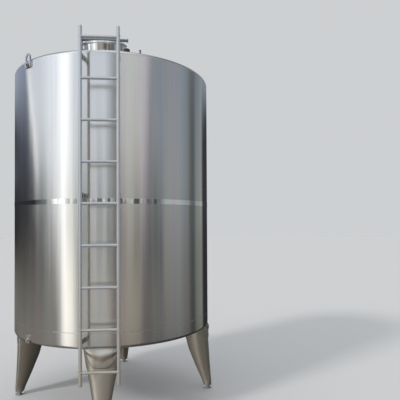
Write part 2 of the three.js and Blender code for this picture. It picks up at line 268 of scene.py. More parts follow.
def section(inner, outer, low, high):
    """The outline of a plain washer."""
    return [(inner, low), (outer, low), (outer, high), (inner, high)]


def cut_plate(outlines, thickness, bevel, matrix):
    """A flat plate with rounded edges, cut to the outer outline with the others as holes, as a mesh."""
    curve = bpy.data.curves.new("plate", "CURVE")
    curve.dimensions = "2D"
    curve.fill_mode = "BOTH"
    curve.extrude = thickness / 2 - bevel
    curve.bevel_depth = bevel
    curve.bevel_resolution = 2
    curve.offset = -bevel
    for outline in outlines:
        spline = curve.splines.new("POLY")
        spline.points.add(len(outline) - 1)
        for point, place in zip(spline.points, outline):
            point.co = (place[0], place[1], 0, 1)
        spline.use_cyclic_u = True
    holder = new_object("plate", curve)
    mesh = final_mesh(holder)
    bpy.data.objects.remove(holder)
    mesh.transform(matrix)
    add_box_places(mesh)
    return mesh


def final_mesh(thing):
    """The mesh of an object after its modifiers."""
    bpy.context.view_layer.update()
    return bpy.data.meshes.new_from_object(thing.evaluated_get(bpy.context.evaluated_depsgraph_get()))


def add_box_places(mesh):
    """Texture places in metres, laid flat on the side that each face looks to."""
    layer = mesh.uv_layers.get("UVMap") or mesh.uv_layers.new(name="UVMap")
    for face in mesh.polygons:
        size = [abs(value) for value in face.normal]
        away = size.index(max(size))
        first, second = [axis for axis in range(3) if axis != away]
        for loop in face.loop_indices:
            corner = mesh.vertices[mesh.loops[loop].vertex_index].co
            layer.data[loop].uv = (corner[first], corner[second])


def joined_mesh(meshes):
    """One mesh from several, which are used up."""
    work = bmesh.new()
    for mesh in meshes:
        work.from_mesh(mesh)
        bpy.data.meshes.remove(mesh)
    result = bpy.data.meshes.new("joined")
    work.to_mesh(result)
    work.free()
    return result


def turned_about_tank(azimuth):
    """Turns a thing made at the front of the tank, in the tank's own frame, to an azimuth round it."""
    return Matrix.Translation((0, AXIS_Y, 0)) @ Matrix.Rotation(azimuth, 4, "Z")


def roof_at(radius):
    """Height of the roof's upper surface at a distance from the tank's axis."""
    edge_radius = KNUCKLE_CENTRE + KNUCKLE * math.sin(ROOF_SLOPE)
    edge_height = EAVE_Z - KNUCKLE + KNUCKLE * math.cos(ROOF_SLOPE)
    return edge_height + (edge_radius - radius) * math.tan(ROOF_SLOPE)


def bottom_at(radius):
    """Height of the tank's under surface at a distance from its axis, knuckle included."""
    edge_radius = KNUCKLE_CENTRE + KNUCKLE * math.sin(BOTTOM_SLOPE)
    edge_height = BASE_Z + KNUCKLE - KNUCKLE * math.cos(BOTTOM_SLOPE)
    if radius <= edge_radius:
        return edge_height - (edge_radius - radius) * math.tan(BOTTOM_SLOPE)
    across = min(radius - KNUCKLE_CENTRE, KNUCKLE)
    return BASE_Z + KNUCKLE - math.sqrt(KNUCKLE ** 2 - across ** 2)


manhole_place = (MANHOLE_X, AXIS_Y - MANHOLE_FROM_AXIS, roof_at(MANHOLE_FROM_AXIS))
manhole_frame = Matrix.Translation(manhole_place) @ Matrix.Rotation(ROOF_SLOPE, 4, "X")


def drill(piece, name, path, radius, sides, material, slot, body="root"):
    """Cuts a round hole through a piece for good, along a path in the manhole's frame."""
    hole = Shape()
    hole.tube(path, radius, sides=sides)
    cutter = hole.moved(manhole_frame).piece(name, material, slot, body=body)
    change = piece.modifiers.new("cut", "BOOLEAN")
    change.object = cutter
    change.solver = "EXACT"
    mesh = final_mesh(piece)
    piece.modifiers.clear()
    piece.data = mesh
    bpy.data.objects.remove(cutter)


# Materials

# The range that most values of a noise fall in
NOISE_MIDDLE = (0.3, 0.7)


class Nodes:
    """Short ways to add and link shader nodes in one tree."""

    def __init__(self, tree):
        self.tree = tree

    def add(self, kind, links=None, **settings):
        node = self.tree.nodes.new(kind)
        for key, value in settings.items():
            setattr(node, key, value)
        for key, value in (links or {}).items():
            self.put(node.inputs[key], value)
        return node

    def put(self, socket, value):
        if isinstance(value, bpy.types.NodeSocket):
            self.tree.links.new(value, socket)
        else:
            socket.default_value = value

    def maths(self, operation, first, second=0.0):
        return self.add("ShaderNodeMath", {0: first, 1: second}, operation=operation).outputs[0]

    def plus(self, first, second):
        return self.maths("ADD", first, second)

    def times(self, first, second):
        return self.maths("MULTIPLY", first, second)

    def between(self, value, low, high, out_low=0.0, out_high=1.0, smooth=False):
        """Carries a value from one range to another, and stops at the ends."""
        links = {"Value": value, "From Min": low, "From Max": high, "To Min": out_low, "To Max": out_high}
        kind = "SMOOTHSTEP" if smooth else "LINEAR"
        return self.add("ShaderNodeMapRange", links, interpolation_type=kind).outputs["Result"]

    def mix(self, share, first, second, blend="MIX"):
        links = {"Factor": share, "A": first, "B": second}
        return self.add("ShaderNodeMix", links, data_type="RGBA", blend_type=blend).outputs["Result"]

    def bump(self, height, depth, normal=None):
        """Bumps of a depth in metres, on top of a normal if there is one."""
        links = {"Height": height, "Strength": 1.0, "Distance": depth}
        if normal is not None:
            links["Normal"] = normal
        return self.add("ShaderNodeBump", links).outputs[0]

    def noise(self, places, scale, detail=3.0, roughness=0.5, seed=0.0):
        """Noise with its own size across each axis of the places."""
        links = {"Vector": places, "Scale": scale, "Location": (seed, seed * 1.7, seed * 0.6)}
        moved = self.add("ShaderNodeMapping", links).outputs[0]
        links = {"Vector": moved, "Scale": 1.0, "Detail": detail, "Roughness": roughness}
        return self.add("ShaderNodeTexNoise", links).outputs["Fac"]


def rgb(colour, factor=1.0):
    return tuple(value * factor for value in colour) + (1.0,)


def new_material(name):
    """A material with the tools for its nodes and its shader."""
    material = bpy.data.materials.new(name)
    material.use_nodes = True
    return material, Nodes(material.node_tree), material.node_tree.nodes["Principled BSDF"]


def steel(name, colour, roughness, smear=0.0, grain=(3.0, 500.0), grain_depth=0.00001, grain_share=0.35,
          waves=(14.0, 0.5), wave_depth=0.0, dents=0.0, dust=None, tint=None, spread=0.05, back=None,
          metallic=1.0):
    """Stainless steel with fine grain, long soft waves, a smeared gloss and marks from handling."""
    material, nodes, shader = new_material(name)
    places = nodes.add("ShaderNodeUVMap", uv_map="UVMap").outputs[0]
    solid = nodes.add("ShaderNodeTexCoord").outputs["Object"]
    fine = nodes.noise(places, (grain[0], grain[1], 1), 4.0, 0.6)
    streak = nodes.noise(places, (waves[0] * 3.1, waves[1] * 1.4, 1), 3.0, 0.55, seed=3.0)
    cloud = nodes.noise(solid, (2.3, 2.3, 1.4), 4.0, 0.6, seed=9.0)
    shade = nodes.plus(nodes.times(fine, grain_share), nodes.times(streak, 1 - grain_share))
    tone = nodes.mix(nodes.between(shade, *NOISE_MIDDLE), rgb(colour, 1 - spread), rgb(colour, 1 + spread))
    if tint:
        tone = nodes.mix(nodes.between(cloud, 0.45, 0.75, 0.0, 0.5), tone, rgb(tint))
    wear = nodes.plus(nodes.times(cloud, 0.6), nodes.times(streak, 0.4))
    rough = nodes.between(wear, *NOISE_MIDDLE, roughness * 0.86, roughness * 1.16)
    if dust:
        low, high, share, film_colour = dust
        height = nodes.add("ShaderNodeSeparateXYZ", {"Vector": solid}).outputs["Z"]
        patch = nodes.noise(solid, (7.0, 7.0, 3.0), 5.0, 0.65, seed=5.0)
        film = nodes.times(nodes.between(height, low, high, share, 0.0, smooth=True),
                           nodes.between(patch, 0.35, 0.65, 0.35, 1.0))
        tone = nodes.mix(film, tone, rgb(film_colour))
        rough = nodes.plus(rough, nodes.times(film, 0.2))
    shader.inputs["Metallic"].default_value = metallic
    if back:
        # Painted light: the side that looks to the shell is made pale and less metallic, which stands in for
        # light falling on it
        facing = nodes.add("ShaderNodeTexCoord").outputs["Normal"]
        towards_shell = nodes.add("ShaderNodeSeparateXYZ", {"Vector": facing}).outputs["Y"]
        painted_light_share = nodes.between(towards_shell, 0.25, 0.65, smooth=True)
        tone = nodes.mix(painted_light_share, tone, rgb(back))
        nodes.put(shader.inputs["Metallic"], nodes.between(painted_light_share, 0.0, 1.0, metallic, 0.0))
    nodes.put(shader.inputs["Base Color"], tone)
    nodes.put(shader.inputs["Roughness"], rough)
    normal = nodes.bump(fine, grain_depth)
    if wave_depth:
        normal = nodes.bump(nodes.noise(places, (waves[0], waves[1], 1), 4.0, seed=1.0), wave_depth, normal)
    if dents:
        normal = nodes.bump(nodes.noise(solid, (2.6, 2.6, 1.6), 2.0, 0.4, seed=2.0), dents, normal)
    nodes.put(shader.inputs["Normal"], normal)
    if smear:
        shader.inputs["Anisotropic"].default_value = smear
        shader.inputs["Anisotropic Rotation"].default_value = 0.25
        tangent = nodes.add("ShaderNodeTangent", direction_type="UV_MAP", uv_map="UVMap")
        nodes.put(shader.inputs["Tangent"], tangent.outputs[0])
    return material


def dull(name, colour, roughness, skin_scale=400.0, skin_depth=0.0001, cloud_scale=30.0, spread=0.15):
    """Plastic, rubber or silicone with a fine moulded skin, also used for the black painted shade inside
    bores.
    """
    material, nodes, shader = new_material(name)
    solid = nodes.add("ShaderNodeTexCoord").outputs["Object"]
    skin = nodes.noise(solid, (skin_scale,) * 3, 2.0)
    cloud = nodes.noise(solid, (cloud_scale,) * 3, 4.0)
    tone = nodes.mix(nodes.between(cloud, *NOISE_MIDDLE), rgb(colour, 1 - spread), rgb(colour, 1 + spread))
    rough = nodes.between(cloud, *NOISE_MIDDLE, roughness * 0.85, roughness * 1.15)
    nodes.put(shader.inputs["Base Color"], tone)
    nodes.put(shader.inputs["Roughness"], rough)
    nodes.put(shader.inputs["Normal"], nodes.bump(skin, skin_depth))
    return material


SHEET = (0.64, 0.645, 0.65)
ROAD_DUST = (0.42, 0.37, 0.30)
CREAM_DUST = (0.54, 0.48, 0.37)
EVEN_GRAIN = {"grain": (200.0, 200.0), "grain_depth": 0.00003}
shell_steel = steel("shell_steel", SHEET, 0.19, smear=0.90, grain_depth=0.0, grain_share=0.05,
                    wave_depth=0.0006, dents=0.0012, dust=(0.74, 0.92, 0.12, ROAD_DUST), spread=0.035)
roof_steel = steel("roof_steel", SHEET, 0.30, smear=0.5, wave_depth=0.0005, dents=0.002)
mirror_steel = steel("mirror_steel", (0.83, 0.84, 0.85), 0.05, wave_depth=0.0002, waves=(9.0, 0.5),
                     grain_depth=0.0, spread=0.02)
polished_steel = steel("polished_steel", (0.74, 0.75, 0.76), 0.13, smear=0.4, grain=(2.0, 300.0),
                       spread=0.03)
saddle_steel = steel("saddle_steel", (0.84, 0.84, 0.83), 0.10, grain=(90.0, 90.0), grain_depth=0.00002,
                     dents=0.0010, spread=0.04)
# The rails and rungs carry a pale painted light on the side that looks to the shell
tube_steel = steel("tube_steel", (0.53, 0.56, 0.59), 0.36, grain=(500.0, 3.0),
                   dust=(0.40, 1.70, 1.0, CREAM_DUST), back=(0.95, 0.88, 0.77), metallic=0.6)
lug_steel = steel("lug_steel", (0.43, 0.445, 0.475), 0.26, spread=0.08, **EVEN_GRAIN)
# A dark steel; on the stays and the upper bushings its darkness is painted shade
dark_steel_and_painted_shade = steel("dark_steel_and_painted_shade", (0.215, 0.225, 0.225), 0.20, spread=0.08, **EVEN_GRAIN)
leg_steel = steel("leg_steel", (0.57, 0.545, 0.495), 0.40, smear=0.3, grain=(300.0, 4.0), dents=0.0015,
                  tint=(0.51, 0.46, 0.40), dust=(0.03, 0.30, 0.35, ROAD_DUST))
weld_steel = steel("weld_steel", (0.68, 0.67, 0.65), 0.28, grain=(300.0, 300.0), grain_depth=0.00005,
                   tint=(0.55, 0.47, 0.37), spread=0.12)
bolt_steel = steel("bolt_steel", (0.66, 0.66, 0.67), 0.24, **EVEN_GRAIN)
# Black for the inside of bores is painted shade in a recess
painted_bore_shade = dull("painted_bore_shade", (0.018, 0.019, 0.022), 0.6)
dark_plastic = dull("dark_plastic", (0.035, 0.037, 0.043), 0.5)
white_silicone = dull("white_silicone", (0.72, 0.71, 0.67), 0.55)


# Shell, rings, roof and bottom

def tank_ring(name, outline, material, slot, node, sides=ROUND, sharp=40):
    """A piece turned about the tank's axis, from (radius, height) pairs in order round its section."""
    shape = Shape()
    shape.lathe(outline, sides=sides, centre=TANK_AXIS)
    return shape.piece(name, material, slot, replaces=[node], sharp=sharp)


def make_course(name, node, low, high):
    """One rolled course of the shell, as a thin ring with eased edges."""
    inner = RADIUS - PLATE
    levels = np.linspace(low, high, 9)[1:-1]
    outline = [(inner, low + EASE), (inner + EASE, low), (RADIUS - EASE, low), (RADIUS, low + EASE)]
    outline += [(RADIUS, z) for z in levels]
    outline += [(RADIUS, high - EASE), (RADIUS - EASE, high), (inner + EASE, high), (inner, high - EASE)]
    outline += [(inner, z) for z in levels[::-1]]
    tank_ring(name, outline, shell_steel, "shell_steel", node)


make_course("skin_lower", "shell_lower_course", BASE_RING_TOP, SEAM_Z)
make_course("skin_upper", "shell_upper_course", SEAM_Z, COURSE_TOP)

band_low, band_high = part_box("seam_band")
band_inner = RADIUS + GAP
band_outer = (band_high.x - band_low.x) / 2
band = softened([(band_inner, band_low.z, 0), (band_outer, band_low.z, EASE),
                 (band_outer, band_high.z, EASE), (band_inner, band_high.z, 0)])
tank_ring("band_strip", band, mirror_steel, "mirror_steel", "seam_band", sides=360, sharp=50)

eave_centre = (KNUCKLE_CENTRE, COURSE_TOP)
eave_turn = 90 - math.degrees(ROOF_SLOPE)
eave_outer = arc(eave_centre, KNUCKLE, 0, eave_turn, 10)
eave_inner = arc(eave_centre, KNUCKLE - PLATE, eave_turn, 0, 10)
tank_ring("eave_knuckle", eave_outer + eave_inner, shell_steel, "shell_steel", "top_ring", sharp=50)

base_centre = (KNUCKLE_CENTRE, BASE_Z + KNUCKLE)
base_turn = 90 - math.degrees(BOTTOM_SLOPE)
base_top = [(RADIUS, BASE_RING_TOP - EASE), (RADIUS - EASE, BASE_RING_TOP), (RADIUS - PLATE, BASE_RING_TOP)]
base_inner = arc(base_centre, KNUCKLE - PLATE, 0, -base_turn, 10)
base_outer = arc(base_centre, KNUCKLE, -base_turn, 0, 10)
tank_ring("base_knuckle", base_top + base_inner + base_outer, shell_steel, "shell_steel", "base_ring",
          sharp=50)


def make_roof():
    """The roof's cone, with the manhole's hole cut through it."""
    apex, hole_depth = 0.002, 0.1
    upright = PLATE / math.cos(ROOF_SLOPE)
    shares = np.linspace(0, 1, 13)
    top = [eave_outer[-1][0] * (1 - s) + apex * s for s in shares]
    under = [eave_inner[0][0] * s + apex * (1 - s) for s in shares]
    outline = [(r, roof_at(r)) for r in top] + [(r, roof_at(r) - upright) for r in under]
    roof = tank_ring("roof_cone", outline, roof_steel, "shell_steel", "roof", sides=240)
    path = [(0, 0, -hole_depth), (0, 0, hole_depth)]
    drill(roof, "roof_cutter", path, NECK_RADIUS + GAP, 160, roof_steel, "shell_steel")


make_roof()

bottom_upright = PLATE / math.cos(BOTTOM_SLOPE)
bottom = [(r, bottom_at(r)) for r in np.linspace(base_outer[0][0], DRAIN_RADIUS + GAP, 10)]
bottom += [(r, z + bottom_upright) for r, z in bottom[:0:-1]] + [base_inner[-1]]
tank_ring("bottom_cone", bottom, roof_steel, "shell_steel", "tank_bottom", sides=240)

drain_low, drain_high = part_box("drain_nozzle")
drain_bore, drain_flange, drain_groove = 0.027, 0.045, 0.0325
drain = softened([
    (drain_bore, drain_high.z, 0.001), (DRAIN_RADIUS, drain_high.z, 0.001),
    (DRAIN_RADIUS, drain_low.z + 0.016, 0.006), (drain_flange, drain_low.z + 0.009, 0.002),
    (drain_flange, drain_low.z, 0.0015), (drain_groove + 0.0015, drain_low.z, 0.0004),
    (drain_groove, drain_low.z + 0.0016, 0.0004), (drain_groove - 0.0015, drain_low.z, 0.0004),
    (drain_bore, drain_low.z, 0.001),
])
tank_ring("drain_pipe", drain, polished_steel, "polished_steel", "drain_nozzle", sides=72)


def make_body_seams():
    """Ring seams ground nearly flush, an upright seam at the back of each course, and the roof's edge."""
    half_width, half_crown, crown = 0.0060, 0.0012, 0.0001
    strip_half = 0.023
    lower_azimuth, upper_azimuth = 168, 196
    upright_section = ((-0.005, -0.001), (-0.003, 0.0006), (0, 0.0010), (0.003, 0.0006), (0.005, -0.001))
    roof_line, sink = 0.0014, 0.0009
    seams = Shape()
    for height in (BASE_RING_TOP, COURSE_TOP):
        outline = [(RADIUS - crown, height - half_width), (RADIUS + crown, height - half_crown),
                   (RADIUS + crown, height + half_crown), (RADIUS - crown, height + half_width)]
        seams.lathe(outline, centre=TANK_AXIS, kind=1)
    for azimuth, low, high in ((lower_azimuth, BASE_RING_TOP, SEAM_Z - strip_half),
                               (upper_azimuth, SEAM_Z + strip_half, COURSE_TOP)):
        rows = []
        for across, proud in upright_section:
            reach = RADIUS + proud
            angle = math.radians(azimuth) + across / RADIUS
            x, y = reach * math.sin(angle), AXIS_Y - reach * math.cos(angle)
            rows.append([(x, y, z) for z in np.linspace(low, high, 60)])
        seams.grid(rows, close_round=False, close_ends=True)
    reach, height = eave_outer[-1]
    seams.tube(circle(reach, (*TANK_AXIS, height - sink), ROUND), roof_line, sides=8, closed=True, kind=1)
    seams.piece("body_seams", [weld_steel, shell_steel], "shell_steel", sharp=60)


make_body_seams()
drain_bead = Shape()
drain_ring = circle(DRAIN_RADIUS + 0.001, (*TANK_AXIS, bottom_at(DRAIN_RADIUS) - 0.001))
drain_bead.bead(drain_ring, 0.004, closed=True)
drain_bead.piece("drain_weld", weld_steel, "polished_steel")


# Legs and feet

# Each row is the drop below the tank's bottom edge, the leg's width across and its depth towards the axis
LEG_ROWS = [
    (-0.025, 0.343, 0.270),
    (0.0, 0.333, 0.273),
    (0.065, 0.308, 0.274),
    (0.140, 0.278, 0.257),
    (0.165, 0.268, 0.252),
    (0.300, 0.216, 0.224),
    (0.480, 0.150, 0.163),
    (0.640, 0.098, 0.101),
]
LEG_TOP_REACH = 0.9895
LEG_COLLAR_REACH = 1.0095
LEG_FOOT_REACH = 1.042
LEG_FOOT_RADIUS = 0.043
LEG_WIDEST_AT = 0.22
LEG_LOWEST = 0.036
LEG_LENGTH = BASE_Z - LEG_LOWEST
LEG_AROUND = 96
COLLAR_DROP = 0.165
COLLAR_STEP = 0.0015
DOME_DROP = 0.160
DOME_HALF_WIDTH = 0.97
DOME_EDGE = 0.06
FOOT_RADIUS = 0.042


def leg_reach(drop):
    """How far the leg's outer side stands from the tank's axis: swollen below the tank, then straight."""
    if drop < COLLAR_DROP:
        return LEG_TOP_REACH + (LEG_COLLAR_REACH - LEG_TOP_REACH) * (1 - (1 - drop / COLLAR_DROP) ** 2)
    share = (drop - COLLAR_DROP) / (LEG_LENGTH - COLLAR_DROP)
    return LEG_COLLAR_REACH + (LEG_FOOT_REACH - LEG_COLLAR_REACH) * share


def leg_point(turn, drop, inset=0.0):
    """A point of a leg at the front. Turn 0 is its outer line, the drop is below the tank's bottom edge."""
    drops, widths, depths = zip(*LEG_ROWS, (LEG_LENGTH, 2 * LEG_FOOT_RADIUS, 2 * LEG_FOOT_RADIUS))
    width = np.interp(drop, drops, widths) - 2 * inset
    depth = np.interp(drop, drops, depths) - 2 * inset
    widest = np.interp(drop, (LEG_ROWS[-1][0], LEG_LENGTH), (LEG_WIDEST_AT, 0.5))
    bulge = depth * (widest if math.cos(turn) > 0 else 1 - widest)
    line = leg_reach(drop) - inset - depth * widest
    return np.array([width / 2 * math.sin(turn), -line - bulge * math.cos(turn), BASE_Z - drop])


def leg_top_drop(turn):
    """The drop at which the leg's sheet meets the tank's underside."""
    low, high = LEG_ROWS[0][0], 0.1
    for _ in range(30):
        middle = (low + high) / 2
        x, y, z = leg_point(turn, middle)
        if z > bottom_at(math.hypot(x, y)):
            low = middle
        else:
            high = middle
    return high


def dome_outline():
    """The cap's outline down its middle, as shares of its length: steep, hollow, then nearly upright."""
    slope_shares = (0.0, 0.18, 0.36, 0.46, 0.58, 0.78, 1.0)
    slopes_there = (0.44, 0.40, -0.10, -0.28, -0.28, 0.0, 0.03)
    shares = np.linspace(0, 1, 101)
    slopes = np.interp(shares, slope_shares, slopes_there)
    steps = (slopes[1:] + slopes[:-1]) / 2 * np.diff(shares)
    return shares, np.concatenate([[0.0], np.cumsum(steps)])


DOME_SHARES, DOME_HEIGHTS = dome_outline()


def dome_bulge(turn, drop, top):
    """How far the leg's polished cap stands out at the front, above its U-shaped lower edge."""
    across = min(abs(math.sin(turn)) / DOME_HALF_WIDTH, 1.0) if math.cos(turn) > 0 else 1.0
    low = top + (DOME_DROP - top) * (1 - across ** 4)
    if drop >= low or low - top < 0.002:
        return 0.0
    share = (drop - top) / (low - top)
    height = np.interp(share * (1 + 0.9 * across ** 1.3), DOME_SHARES, DOME_HEIGHTS)
    edge = min((1 - share) / DOME_EDGE, 1.0)
    return (low - top) * (1 - 0.3 * across) * height * edge


def leg_rows():
    """Rows of the leg's outside: the polished collar with its dome first, then the plain cone."""
    turns = full_turn(LEG_AROUND) + math.pi
    tops = [leg_top_drop(turn) for turn in turns]
    saddle = []
    for share in np.linspace(0, 1, 41):
        row = []
        for turn, top in zip(turns, tops):
            drop = top + (COLLAR_DROP - top) * share
            outward = np.array([math.sin(turn), -math.cos(turn), 0.0])
            row.append(leg_point(turn, drop) + outward * dome_bulge(turn, drop, top))
        saddle.append(row)
    cone = []
    for share in np.linspace(0, 1, 29):
        drop = COLLAR_DROP + COLLAR_STEP + (LEG_LENGTH - COLLAR_DROP - COLLAR_STEP) * share
        cone.append([leg_point(turn, drop, 0.003 * (1 - share ** 4)) for turn in turns])
    return saddle, cone, turns, tops


def make_leg(side, azimuth):
    """The leg's sheet with its polished cap, and the beads along the tank and under the cap's collar."""
    place = turned_about_tank(azimuth)
    saddle, cone, turns, tops = leg_rows()
    leg = Shape()
    start = leg.grid(saddle, kind=1)
    lower = leg.grid([saddle[-1]] + cone)
    leg.cap(lower + len(cone) * LEG_AROUND, LEG_AROUND)
    leg.cap(start, LEG_AROUND, reverse=True)
    materials = [leg_steel, saddle_steel]
    leg.moved(place).piece(f"leg_sheet_{side}", materials, "leg_steel", replaces=[f"leg_{side}"], sharp=40)
    welds = Shape()
    welds.bead([leg_point(turn, top + 0.001) for turn, top in zip(turns, tops)], 0.0042, closed=True)
    welds.bead(saddle[-1], 0.0020, closed=True, pitch=0.004, ripple=0.08)
    welds.moved(place).piece(f"leg_welds_{side}", weld_steel, "leg_steel", sharp=60)


def make_foot(side, azimuth):
    """A levelling foot: round pad, threaded stem and lock nut."""
    centre = (0, FOOT_RADIUS - LEG_FOOT_REACH)
    crest, root, pitch = 0.0220, 0.0208, 0.002
    stem_top = LEG_LOWEST - 0.0004
    pad = [(0.001, 0.0, 0), (0.040, 0.0, 0.001), (FOOT_RADIUS, 0.002, 0.001), (FOOT_RADIUS, 0.009, 0.002),
           (0.036, 0.012, 0.003), (0.024, 0.0135, 0.002), (crest, 0.0155, 0)]
    profile = [(0.0, 0.0)] + softened(pad)
    ridge = 0.0165
    while ridge < LEG_LOWEST - 0.0035:
        profile += [(root, ridge), (crest, ridge + 0.001)]
        ridge += pitch
    profile += [(root, stem_top), (0.0, stem_top)]
    foot = Shape()
    foot.lathe(profile, sides=48, centre=centre, close=False)
    inner, flat, corner = 0.0222, 0.0290, 0.0315
    low, high, chamfer = 0.0245, 0.0354, 0.0012
    nut = [(inner, low), (flat, low), (corner, low + chamfer),
           (corner, high - chamfer), (flat, high), (inner, high)]
    foot.lathe(nut, sides=6, centre=centre)
    foot.moved(turned_about_tank(azimuth))
    foot.piece(f"levelling_foot_{side}", bolt_steel, "polished_steel", replaces=[f"foot_{side}"])


for quarter, side in enumerate(("front", "right", "rear", "left")):
    make_leg(side, quarter * math.pi / 2)
    make_foot(side, quarter * math.pi / 2)


# Ladder

rail_left_low, rail_left_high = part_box("ladder_rail_left")
rail_right_low, rail_right_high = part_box("ladder_rail_right")
RAIL_RADIUS = (rail_left_high.x - rail_left_low.x) / 2
LADDER_Y = (rail_left_low.y + rail_left_high.y) / 2
rail_x = {"left": (rail_left_low.x + rail_left_high.x) / 2,
          "right": (rail_right_low.x + rail_right_high.x) / 2}
RUNG_RADIUS = 0.0125
STAY_HALF = 0.004
rung_heights = [sum(corner.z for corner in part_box(f"rung_{i + 1}")) / 2 for i in range(9)]


def make_rail(side):
    """A straight tube, closed by a domed and welded cap at each end."""
    low, high = rail_left_low.z, rail_left_high.z
    centre = (rail_x[side], LADDER_Y)
    dome, weld_drop = 0.006, 0.0075
    ends = [(0.0005, low), (RAIL_RADIUS * 0.55, low + 0.0006), (RAIL_RADIUS * 0.85, low + 0.0022),
            (RAIL_RADIUS, low + dome)]
    outline = ends + [(RAIL_RADIUS, z) for z in np.linspace(low + dome, high - dome, 60)[1:-1]]
    outline += [(r, low + high - z) for r, z in reversed(ends)]
    rail = Shape()
    rail.lathe(outline, sides=TUBE_SIDES, centre=centre, close=False, capped=True)
    for z in (low + weld_drop, high - weld_drop):
        rail.bead(circle(RAIL_RADIUS - 0.0017, (*centre, z), 32), 0.0015, closed=True, pitch=0.003)
    rail.piece(f"rail_tube_{side}", tube_steel, "tube_steel", replaces=[f"ladder_rail_{side}"], sharp=50)


def saddle_ring(rail_centre_x, height, facing, lift=0.0002):
    """The line where a rung meets a rail."""
    points = []
    for turn in full_turn(40):
        y = (RUNG_RADIUS + lift) * math.cos(turn)
        z = (RUNG_RADIUS + lift) * math.sin(turn)
        reach = math.sqrt(max((RAIL_RADIUS + lift) ** 2 - y ** 2, 1e-9))
        points.append((rail_centre_x + facing * reach, LADDER_Y + y, height + z))
    return points


def make_rung(number, height):
    """A rung tube whose ends are coped to the rails."""
    rows = []
    for share in np.linspace(0, 1, 13):
        row = []
        for turn in full_turn(TUBE_SIDES):
            y, z = RUNG_RADIUS * math.cos(turn), RUNG_RADIUS * math.sin(turn)
            inset = math.sqrt(RAIL_RADIUS ** 2 - y ** 2) + GAP
            low, high = rail_x["left"] + inset, rail_x["right"] - inset
            row.append((low + (high - low) * share, LADDER_Y + y, height + z))
        rows.append(row)
    rung = Shape()
    rung.grid(rows, capped=True)
    rung.piece(f"rung_tube_{number}", tube_steel, "tube_steel", replaces=[f"rung_{number}"], sharp=50)


def make_ladder_welds():
    """Beads round the rung ends, and a plug weld on the outside of each rail a little above each rung."""
    plug_reaches, plug_radii, plug_rise = (0, 0.003, 0.005, 0.0062), [0.0062, 0.0056, 0.004, 0.0012], 0.012
    beads = Shape()
    for height in rung_heights:
        for side, facing in (("left", 1), ("right", -1)):
            beads.bead(saddle_ring(rail_x[side], height, facing), 0.0018, closed=True, pitch=0.0035)
            outer = rail_x[side] - facing * (RAIL_RADIUS - 0.001)
            plug = [(outer - facing * reach, LADDER_Y, height + plug_rise) for reach in plug_reaches]
            beads.tube(plug, plug_radii, sides=14)
    beads.piece("ladder_welds", weld_steel, "tube_steel", sharp=60)


def make_bracket(side, level):
    """A flat bar from the shell to a rail, with its welds."""
    node = f"bracket_{side}_{level}"
    low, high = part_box(node)
    x = (low.x + high.x) / 2
    rail_face = LADDER_Y + math.sqrt(RAIL_RADIUS ** 2 - STAY_HALF ** 2)
    shell_face = AXIS_Y - math.sqrt(RADIUS ** 2 - x ** 2)
    end = shell_face - 0.0002
    corner, weld_half = 0.0015, 0.0045
    outline = [(rail_face, low.z), (end, low.z), (end, high.z), (rail_face, high.z)]
    outline = softened([(y, z, corner) for y, z in outline], 2)
    upright = Matrix(((0, 0, 1, x), (1, 0, 0, 0), (0, 1, 0, 0), (0, 0, 0, 1)))
    mesh = cut_plate([outline], high.x - low.x, 0.0009, upright)
    # The stay's dark steel is painted shade
    make_piece(f"stay_{side}_{level}", mesh, dark_steel_and_painted_shade, replaces=[node])
    beads = Shape()
    for y in (rail_face + 0.001, shell_face - 0.0015):
        ring = [(x - weld_half, y, low.z), (x - weld_half, y, high.z),
                (x + weld_half, y, high.z), (x + weld_half, y, low.z)]
        beads.bead(ring, 0.0028, closed=True, pitch=0.004)
    beads.piece(f"stay_welds_{side}_{level}", weld_steel, "tube_steel", sharp=60)


for side in ("left", "right"):
    make_rail(side)
for number, height in enumerate(rung_heights, 1):
    make_rung(number, height)
make_ladder_welds()
for level in ("lower", "middle", "upper"):
    for side in ("left", "right"):
        make_bracket(side, level)


# Manhole: neck and rim, lid, crossbar and hinge

def make_neck():
    """The neck with its rolled rim, and the bead that joins it to the roof."""
    inner = NECK_RADIUS - PLATE
    sink, ease = 0.012, 0.002
    outline = [(inner, -sink)] + [(NECK_RADIUS, z) for z in (-sink, 0.03, 0.07, 0.10)]
    outline += arc((RIM_RADIUS - RIM_BEAD, RIM_HEIGHT - RIM_BEAD), RIM_BEAD, 180, 450, 24)
    outline += [(inner + ease, RIM_HEIGHT), (inner + EASE, RIM_HEIGHT - EASE), (inner, RIM_HEIGHT - ease),
                (inner, 0.05)]
    neck = Shape()
    neck.lathe(outline, sides=192)
    neck.moved(manhole_frame)
    neck.piece("neck_ring", polished_steel, "polished_steel", replaces=["manhole_neck"], sharp=50)
    foot = []
    for turn in full_turn(120):
        reach = NECK_RADIUS + 0.0015
        height = 0.0
        for _ in range(6):
            point = manhole_frame @ Vector((reach * math.cos(turn), reach * math.sin(turn), height))
            height -= (point.z - roof_at(math.hypot(point.x, point.y - AXIS_Y))) / math.cos(ROOF_SLOPE)
        foot.append(tuple(point + Vector((0, 0, 0.001))))
    weld = Shape()
    weld.bead(foot, 0.0045, closed=True, pitch=0.005)
    weld.piece("neck_weld", weld_steel, "polished_steel", sharp=60)


